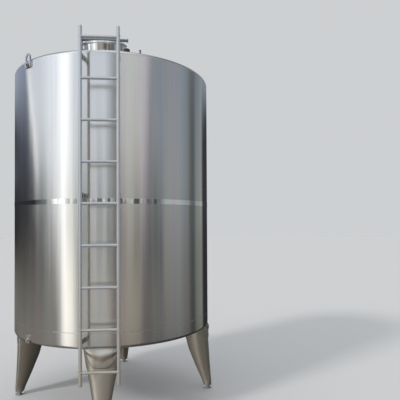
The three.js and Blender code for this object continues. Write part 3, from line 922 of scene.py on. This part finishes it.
def make_lid():
    """The domed lid with the seal on its underside."""
    dome = (LID_RADIUS ** 2 + LID_RISE ** 2) / (2 * LID_RISE)

    def dome_height(radius, lift):
        return LID_LOW + lift + LID_RISE - dome + math.sqrt(dome ** 2 - radius ** 2)

    reaches = np.linspace(0.0005, LID_RADIUS - 0.006, 24)
    under = [(r, dome_height(r, 0.0)) for r in reaches]
    rim = [(LID_RADIUS - 0.003, LID_LOW, 0.001), (LID_RADIUS, LID_LOW, 0.001),
           (LID_RADIUS, LID_LOW + PLATE, 0.0015)]
    upper = [(r, dome_height(r, PLATE)) for r in reaches[::-1]]
    lid = Shape()
    lid.lathe(under + softened(rim, 3)[1:-1] + upper, sides=192)
    outer = NECK_RADIUS - PLATE - 0.0035
    inner = outer - 0.0095
    seal = [(outer, -0.0002), (outer, -0.0035), (outer - 0.0045, -0.005), (inner, -0.003), (inner, 0.005),
            (outer, 0.004)]
    lid.lathe(softened([(r, LID_LOW + z, 0.0008) for r, z in seal], 2), sides=160, kind=1)
    lid.moved(manhole_frame)
    lid.piece("lid_dome", [polished_steel, white_silicone], "shell_steel", body="lid",
              replaces=["manhole_lid"], sharp=50)


def make_crossbar():
    """The lid's bar: round, closed at both ends, with a locking disc on a short neck at the free end."""
    neck, disc, tip, hole_depth = 0.012, 0.0165, 0.0005, 0.1
    body = np.linspace(BAR_START + 0.03, BAR_END - 0.02, 17)
    start = [(0.0, BAR_START, 0), (BAR_RADIUS, BAR_START, 0.003), (BAR_RADIUS, body[0], 0)]
    end = [(BAR_RADIUS, body[-1], 0), (BAR_RADIUS, BAR_END, 0.002), (neck, BAR_END, 0.0008),
           (neck, DISC_START, 0.0008), (disc, DISC_START, 0.0015), (disc, DISC_END, 0.003),
           (0.0, DISC_END, 0)]
    outline = [(tip, BAR_START)] + softened(start)[1:-1] + [(BAR_RADIUS, x) for x in body]
    outline += softened(end)[1:-1] + [(tip, DISC_END)]
    bar = Shape()
    bar.lathe(outline, sides=BAR_SIDES, close=False, capped=True)
    bar.moved(manhole_frame @ Matrix.Translation((0, 0, BAR_Z)) @ Matrix.Rotation(math.pi / 2, 4, "Y"))
    piece = bar.piece("lid_bar", dark_steel_and_painted_shade, "tube_steel", body="lid", replaces=["lid_crossbar"], sharp=40)
    path = [(HINGE_X, -hole_depth, BAR_Z), (HINGE_X, hole_depth, BAR_Z)]
    drill(piece, "bar_cutter", path, PIN_HOLE, 32, dark_steel_and_painted_shade, "tube_steel", body="lid")


def make_stem():
    """The short post between the lid and its bar, with a bead round its foot."""
    core, foot, post = 0.0006, 0.020, 0.0135
    low = LID_LOW + LID_RISE + PLATE + GAP
    high = BAR_Z - 0.012
    stem = Shape()
    stem.lathe(softened([(core, low, 0), (foot, low, 0.0008), (foot, low + 0.003, 0.0012),
                         (post, low + 0.004, 0.001), (post, high, 0), (core, high, 0)]), sides=BAR_SIDES)
    stem.bead(circle(0.0205, (0, 0, low + 0.0006)), 0.0022, closed=True, pitch=0.0035)
    stem.moved(manhole_frame)
    stem.piece("lid_pivot", polished_steel, "polished_steel", body="lid", replaces=["lid_stem"], sharp=40)


def make_hinge():
    """Two cheeks joined by a web and welded to the neck, with a pin through them and the bar."""
    fork_gap, cheek = 0.036, 0.008
    outer, inner = -0.238, -0.2115
    low = RIM_HEIGHT - 0.062
    plate_half, foot_round = 0.014, 0.016
    web_top = RIM_HEIGHT + 0.016
    neck_face = -NECK_RADIUS - 0.0004
    tip = arc(((outer + inner) / 2, BAR_Z), (inner - outer) / 2, 180, 0, 12)
    foot = arc((outer + foot_round, low + 0.002), foot_round, -90, -180, 8)
    start = [(neck_face, low - plate_half)] + foot
    end = [(inner, low + plate_half), (neck_face, low + plate_half)]
    eye = arc((HINGE_X, BAR_Z), PIN_HOLE, 0, 360, 24)[:-1]
    upright = Matrix(((1, 0, 0, 0), (0, 0, -1, 0), (0, 1, 0, 0), (0, 0, 0, 1)))
    meshes = []
    for facing in (-1, 1):
        shift = Matrix.Translation((0, facing * (fork_gap + cheek) / 2, 0))
        meshes.append(cut_plate([start + tip + end, eye], cheek, 0.001, manhole_frame @ shift @ upright))
    web = start + [(outer, web_top), (inner, web_top)] + end
    meshes.append(cut_plate([web], fork_gap + 0.002, 0.0006, manhole_frame @ upright))
    make_piece("hinge_fork", joined_mesh(meshes), dark_steel_and_painted_shade, replaces=["hinge_bracket"])
    make_pin(fork_gap / 2 + cheek)
    half, half_height = fork_gap / 2 + cheek + 0.001, plate_half + 0.0005
    middle_x = -NECK_RADIUS - 0.001
    side_x = -math.sqrt((NECK_RADIUS + 0.001) ** 2 - half ** 2)
    drop, rise = low - half_height, low + half_height
    weld = Shape()
    weld.bead([(side_x, -half, drop), (side_x, -half, rise), (middle_x, 0, rise), (side_x, half, rise),
               (side_x, half, drop), (middle_x, 0, drop)], 0.003, closed=True)
    weld.moved(manhole_frame).piece("hinge_weld", weld_steel, "polished_steel", sharp=60)


def make_pin(half):
    """The hinge's bolt, with a round head and a nut. Half is the distance to the cheeks' outer sides."""
    core, shank, head = 0.0006, 0.005, 0.0085
    pin = Shape()
    outline = [(core, -half - 0.006, 0), (head, -half - 0.006, 0.0015), (head, -half - 0.0004, 0.0005),
               (shank, -half - 0.0004, 0), (shank, half + 0.0045, 0), (0.004, half + 0.006, 0.0008),
               (core, half + 0.006, 0)]
    pin.lathe(softened(outline), sides=32)
    pin.lathe(section(0.0051, 0.0088, half + 0.0005, half + 0.0035), sides=6)
    tip_over = Matrix.Translation((HINGE_X, 0, BAR_Z)) @ Matrix.Rotation(math.pi / 2, 4, "X")
    pin.moved(manhole_frame @ tip_over)
    pin.piece("hinge_bolt", bolt_steel, "tube_steel", replaces=["hinge_pin"])


make_neck()
make_lid()
make_crossbar()
make_stem()
make_hinge()


# Lifting lugs, base lugs and the small roof fittings

LUG_AZIMUTH = math.radians(-43.5)
LUG_THICKNESS = 0.012
LUG_BEVEL = 0.0015
LUG_Z = EAVE_Z - 0.016
LUG_HALF = 0.044
LUG_LOW = -0.065
LUG_SHOULDER = 0.010
LUG_HIGH = 0.065
LUG_BUSHING_DROP = 0.044
BASE_LUG_Z = 0.762
BASE_LUG_HALF = 0.031
BASE_LUG_REACH = 0.034


def lug_outlines():
    """The lifting lug's outline with its round top, and the outline of its eye."""
    eye_half, eye_rise, eye_centre, corner = 0.023, 0.034, 0.014, 0.004
    rise = LUG_HIGH - LUG_SHOULDER
    foot = [(-LUG_HALF, LUG_LOW), (LUG_HALF, LUG_LOW), (LUG_HALF, LUG_SHOULDER)]
    turns = np.linspace(0.05, math.pi - 0.05, 30)
    top = [(LUG_HALF * math.cos(t), LUG_SHOULDER + rise * math.sin(t)) for t in turns]
    eye = [(eye_half * math.cos(t), eye_centre + eye_rise * math.sin(t)) for t in full_turn(40)]
    return [softened([(x, z, corner) for x, z in foot], 3)[1:] + top + [(-LUG_HALF, LUG_SHOULDER)], eye]


def wall_plate(outlines, height, around):
    """A plate drawn flat, stood against the front of the shell at a height and turned round the tank."""
    face = -RADIUS - GAP - LUG_THICKNESS / 2
    stand = Matrix(((1, 0, 0, 0), (0, 0, -1, face), (0, 1, 0, height), (0, 0, 0, 1)))
    return cut_plate(outlines, LUG_THICKNESS, LUG_BEVEL, around @ stand)


def make_bushing(name, height, around, finish):
    """A threaded bushing on a lug: a short ring round a bore lined in black, which is painted shade."""
    outer, length, sink = 0.017, 0.0095, 0.002
    core, bore, floor = 0.0004, 0.0108, 0.004
    ring = [(0.0110, 0.0, 0), (outer, 0.0, 0.001), (outer, length, 0.002), (0.0118, length, 0.001),
            (bore, 0.0085, 0)]
    painted_shade_lining = [(core, floor), (0.0112, floor), (0.0112, 0.0086), (bore, 0.0086), (bore, floor + 0.0005),
              (core, floor + 0.0005)]
    bushing = Shape()
    bushing.lathe(softened(ring), sides=40)
    bushing.lathe(painted_shade_lining, sides=40, kind=1)
    face = -RADIUS - GAP - LUG_THICKNESS + sink
    bushing.moved(Matrix.Translation((0, face, height)) @ Matrix.Rotation(math.pi / 2, 4, "X"))
    bushing.moved(around).piece(name, [finish, painted_bore_shade], "tube_steel")


def rectangle_bead(shape, half_width, low, high):
    """Beads on the shell's round face, up both sides of a wall plate and along its foot."""
    def on_wall(x, z):
        return (x, -math.sqrt((RADIUS + 0.001) ** 2 - x ** 2), z)
    foot = [on_wall(x, low) for x in np.linspace(-half_width, half_width, 7)]
    side = foot[-1:] + [on_wall(half_width, z) for z in np.linspace(low, high, 5)[1:]]
    shape.bead(side, 0.003)
    shape.bead([on_wall(-x, z) for x, _, z in side], 0.003)
    shape.bead(foot, 0.003)


def make_lugs(side, azimuth):
    """A lifting lug at the eave and the small lug straight below it, with their bushings and welds."""
    around = turned_about_tank(azimuth)
    plate = wall_plate(lug_outlines(), LUG_Z, around)
    make_piece(f"lifting_eye_{side}", plate, lug_steel, replaces=[f"lifting_lug_{side}"])
    half, reach = BASE_LUG_HALF, BASE_LUG_REACH
    outline = [(-half, -reach, 0.008), (half, -reach, 0.008), (half, reach, 0.002), (-half, reach, 0.002)]
    plate = wall_plate([softened(outline)], BASE_LUG_Z, around)
    make_piece(f"base_plate_{side}", plate, weld_steel, replaces=[f"base_lug_{side}"])
    # The black bores of both bushings, and the upper one's dark steel, are painted shade
    make_bushing(f"bushing_{side}_upper", LUG_Z - LUG_BUSHING_DROP, around, dark_steel_and_painted_shade)
    make_bushing(f"bushing_{side}_lower", BASE_LUG_Z, around, bolt_steel)
    beads = Shape()
    rectangle_bead(beads, LUG_HALF + 0.0015, LUG_Z + LUG_LOW - 0.0005, EAVE_Z - 0.032)
    rectangle_bead(beads, BASE_LUG_HALF + 0.0015, BASE_LUG_Z - 0.002, BASE_LUG_Z + 0.033)
    beads.moved(around).piece(f"lug_welds_{side}", weld_steel, "tube_steel", sharp=60)


make_lugs("front", LUG_AZIMUTH)
make_lugs("rear", LUG_AZIMUTH + math.pi)


def roof_place(azimuth, from_axis):
    """The spot on the roof at an azimuth and a distance from the axis."""
    turn = math.radians(azimuth)
    x, y = from_axis * math.sin(turn), AXIS_Y - from_axis * math.cos(turn)
    return Matrix.Translation((x, y, roof_at(from_axis)))


def make_vent():
    """A short open pipe with a collar, and a bead round its foot."""
    azimuth, from_axis = 20.4, 0.935
    bore, pipe, collar, top = 0.0060, 0.008, 0.0095, 0.0385
    vent = Shape()
    outline = [(bore, -0.002, 0), (pipe, -0.002, 0), (pipe, 0.028, 0.0008), (collar, 0.0285, 0.0008),
               (collar, top, 0.0015), (bore, top, 0.0008)]
    vent.lathe(softened(outline), sides=TUBE_SIDES)
    vent.lathe(section(0.0004, 0.0062, 0.032, 0.033), sides=TUBE_SIDES)
    vent.bead(circle(0.0092, (0, 0, 0.0012)), 0.0022, closed=True, pitch=0.0035)
    vent.moved(roof_place(azimuth, from_axis))
    vent.piece("vent_pipe", dark_steel_and_painted_shade, "tube_steel", replaces=["vent_stub"], sharp=40)


def make_plug():
    """A dark plug with ribs round it."""
    azimuth, from_axis = 13, 0.930
    core, neck, radius, top = 0.0006, 0.0265, 0.028, 0.0308
    rib_reach, rib_heights, rib_count = 0.0272, (0.0085, 0.016, 0.0245), 20
    plug = Shape()
    plug.lathe(softened([(core, -0.004, 0), (neck, -0.004, 0), (neck, 0.006, 0.001), (radius, 0.0075, 0.001),
                         (radius, 0.027, 0.003), (0.020, top, 0.002), (core, top, 0)]), sides=56)
    for turn in full_turn(rib_count):
        x, y = rib_reach * math.cos(turn), rib_reach * math.sin(turn)
        plug.tube([(x, y, z) for z in rib_heights], 0.0011, sides=6)
    plug.moved(roof_place(azimuth, from_axis))
    plug.piece("plug_cap", dark_plastic, "dark_plastic", replaces=["roof_plug"], sharp=40)


make_vent()
make_plug()


# Studio: pale floor, plain backdrop, soft light and the surroundings that the metal mirrors

FLOOR_COLOURS = ((0.74, 0.744, 0.75), (0.76, 0.766, 0.772))


def make_floor():
    mesh = bpy.data.meshes.new("studio_floor")
    work = bmesh.new()
    bmesh.ops.create_circle(work, cap_ends=True, radius=60.0, segments=96)
    work.to_mesh(mesh)
    work.free()
    studio_floor = new_object("studio_floor", mesh)
    studio_floor.location.z = -0.0005
    studio_floor.visible_glossy = False
    material, nodes, shader = new_material("studio_floor")
    cloud = nodes.noise(nodes.add("ShaderNodeTexCoord").outputs["Object"], (0.6, 0.6, 0.6), 4.0)
    nodes.put(shader.inputs["Base Color"], nodes.mix(cloud, *map(rgb, FLOOR_COLOURS)))
    shader.inputs["Roughness"].default_value = 0.85
    mesh.materials.append(material)


make_floor()

# Soft panels, dark screens and dark posts that stand round the tank, far away. Azimuth 0 is straight in
# front of the ladder and grows to the right, in degrees, and a slant moves a panel's sides left as they
# rise. The colour is the light that a panel adds, or the share of light that a screen lets through.
PANELS = [
    # azimuth, half width, softness, lowest, highest, softness up, slant, colour
    (-60, 8, 26, 0, 60, 10, 0, (0.62, 0.62, 0.60)),
    (-50, 4.5, 8, -35, 60, 18, 0, (0.80, 0.77, 0.72)),
    (-44.5, 7.5, 4, -60, -0.5, 3, 0, (0.76, 0.71, 0.63)),
    (-17, 15, 4, -9, 2.5, 2.5, 0, (0.23, 0.22, 0.205)),
    (5, 30, 10, 38, 62, 5, 0, (0.62, 0.62, 0.62)),
    (-98, 34, 6, -60, -14, 3, 0, (0.20, 0.185, 0.165)),
    (-76.3, 2.2, 1.5, 6.5, 26, 2, 1.57, (1.35, 1.27, 1.14)),
]
SCREENS = [
    (-118, 40, 2, -5, 14, 4, 1.57, (0.10, 0.10, 0.11)),
    (-134, 30, 3, 8, 60, 4, 0, (0.44, 0.47, 0.52)),
    (-122, 60, 4, -60, 5, 1.0, 0.85, (0.29, 0.29, 0.275)),
    (102, 63, 6, -60, 70, 20, -0.30, (0.41, 0.425, 0.43)),
    (112, 18, 8, -60, 70, 20, -0.10, (0.74, 0.74, 0.75)),
    (111, 6, 3, -60, 22, 10, 0, (0.42, 0.43, 0.44)),
    (157, 20, 4, -60, 16, 3, 0, (0.10, 0.10, 0.11)),
    (27, 22, 5, -60, 70, 10, 0, (0.86, 0.80, 0.74)),
    (6.5, 3, 4.5, -60, 25, 4, 0, (0.46, 0.455, 0.45)),
    (3.5, 5, 4, 6, 25, 4, 0, (0.68, 0.68, 0.685)),
    (8, 56, 3, -7, 5.5, 1, 0, (0.62, 0.62, 0.59)),
    (6, 56, 3, -6.5, -1.5, 0.8, 0, (0.25, 0.245, 0.23)),
]
POSTS = [
    (-82, 9, 1.5, 1.5, 7, 0.8),
    (-46.5, 3.0, 0.8, -2, 5, 0.8),
    (-26, 4.0, 1.0, -7, 6, 1.0),
    (-10, 3.0, 0.6, -7, 7, 1.0),
    (0, 1.6, 0.5, -7, 6, 1.0),
    (11, 4.0, 0.8, -7, 6, 1.0),
    (31, 3.5, 1.2, -6, 5, 1.0),
    (53, 2.2, 0.8, -6, 5.5, 1.0),
]
POST_COLOUR = (0.07, 0.085, 0.08)
CLUTTER = (0, 60, 3, -7, 5.5, 1)
CLUTTER_COLOUR = (0.10, 0.11, 0.10)
STRIPES = 0.30
BACKDROP = (0.61, 0.625, 0.64)

# The colour at the horizon, then the heights in degrees between which the next colour comes in
SKY_LOW = (1.02, 1.04, 1.06)
SKY = [
    (4, 22, (0.86, 0.93, 1.03)),
    (20, 60, (0.62, 0.65, 0.70)),
    (58, 76, (0.98, 1.00, 1.04)),
]
HORIZON = (-1.2, 0.8)
GROUND_FAR = (0.72, 0.68, 0.63)
GROUND_NEAR = (0.13, 0.122, 0.115)
GROUND_TURN = (-11, -23)


def make_world():
    """A plain backdrop for the camera and for diffuse light, and painted surroundings for the mirrors."""
    world = bpy.data.worlds.new("studio")
    bpy.context.scene.world = world
    world.use_nodes = True
    world.node_tree.nodes.clear()
    nodes = Nodes(world.node_tree)
    direction = nodes.add("ShaderNodeTexCoord").outputs["Generated"]
    parts = nodes.add("ShaderNodeSeparateXYZ", {"Vector": direction}).outputs
    azimuth = nodes.maths("DEGREES", nodes.maths("ARCTAN2", parts["X"], nodes.times(parts["Y"], -1.0)))
    height = nodes.maths("DEGREES", nodes.maths("ARCSINE", parts["Z"]))

    def window(value, low, high, soft):
        rise = nodes.between(value, low - soft, low + soft, smooth=True)
        return nodes.times(rise, nodes.between(value, high - soft, high + soft, 1.0, 0.0, smooth=True))

    def panel(middle, half, soft, lowest, highest, soft_up, slant=0.0):
        across = nodes.plus(azimuth, nodes.times(height, slant))
        return nodes.times(window(across, middle - half, middle + half, soft),
                           window(height, lowest, highest, soft_up))

    sky = rgb(SKY_LOW)
    for low, high, colour in SKY:
        sky = nodes.mix(nodes.between(height, low, high, smooth=True), sky, rgb(colour))
    ground = nodes.mix(nodes.between(height, *GROUND_TURN, smooth=True), rgb(GROUND_FAR), rgb(GROUND_NEAR))
    light = nodes.mix(nodes.between(height, *HORIZON, smooth=True), ground, sky)
    for *sides, colour in SCREENS:
        light = nodes.mix(1.0, light, nodes.mix(panel(*sides), rgb((1, 1, 1)), rgb(colour)), "MULTIPLY")
    for sides in POSTS:
        light = nodes.mix(panel(*sides), light, rgb(POST_COLOUR))
    clutter = nodes.noise(direction, (11.0, 11.0, 20.0), 4.0, 0.65, seed=4.0)
    broken = nodes.times(nodes.between(clutter, 0.50, 0.60, 0.0, 0.8), panel(*CLUTTER))
    light = nodes.mix(broken, light, rgb(CLUTTER_COLOUR))
    around = {"X": nodes.times(azimuth, 0.11), "Y": nodes.times(height, 0.012)}
    places = nodes.add("ShaderNodeCombineXYZ", around).outputs[0]
    links = {"Vector": places, "Scale": 1.0, "Detail": 3.0}
    stripes = nodes.add("ShaderNodeTexNoise", links).outputs["Color"]
    light = nodes.mix(STRIPES, light, stripes, "OVERLAY")
    for *sides, colour in PANELS:
        light = nodes.mix(panel(*sides), light, rgb(colour), "ADD")
    mirrored = nodes.add("ShaderNodeBackground", {"Color": light, "Strength": 1.0}).outputs[0]
    plain = nodes.add("ShaderNodeBackground", {"Color": rgb(BACKDROP), "Strength": 1.0}).outputs[0]
    path = nodes.add("ShaderNodeLightPath").outputs
    seen = nodes.maths("MAXIMUM", path["Is Camera Ray"], path["Is Diffuse Ray"])
    choice = nodes.add("ShaderNodeMixShader", {0: seen, 1: mirrored, 2: plain}).outputs[0]
    nodes.add("ShaderNodeOutputWorld", {"Surface": choice})


make_world()

SUN_DIRECTION = Vector((0.671, 0.470, -0.574))
sun_data = bpy.data.lights.new("soft_key", "SUN")
sun_data.energy = 1.1
sun_data.angle = math.radians(9)
sun_data.color = (1.0, 0.97, 0.92)
sun = new_object("soft_key", sun_data)
sun.visible_glossy = False
sun.rotation_euler = SUN_DIRECTION.to_track_quat("-Z", "Y").to_euler()

# Camera, solved from the photograph's outline
CAMERA_PLACE = (0.540, -4.682, 1.787)
CAMERA_HEADING = math.radians(4.677)
CAMERA_PITCH = 0.0168
CAMERA_ROLL = -0.0054
camera_data = bpy.data.cameras.new("camera")
camera_data.sensor_width = 36
camera_data.lens = 38.68
camera_data.shift_y = 0.0427
camera_data.clip_end = 200
camera = new_object("camera", camera_data)
camera.matrix_world = (Matrix.Translation(CAMERA_PLACE)
                       @ Matrix.Rotation(-CAMERA_HEADING, 4, "Z")
                       @ Matrix.Rotation(math.pi / 2 + CAMERA_PITCH, 4, "X")
                       @ Matrix.Rotation(CAMERA_ROLL, 4, "Z"))
bpy.context.scene.camera = camera
bpy.context.scene.view_settings.view_transform = "Standard"
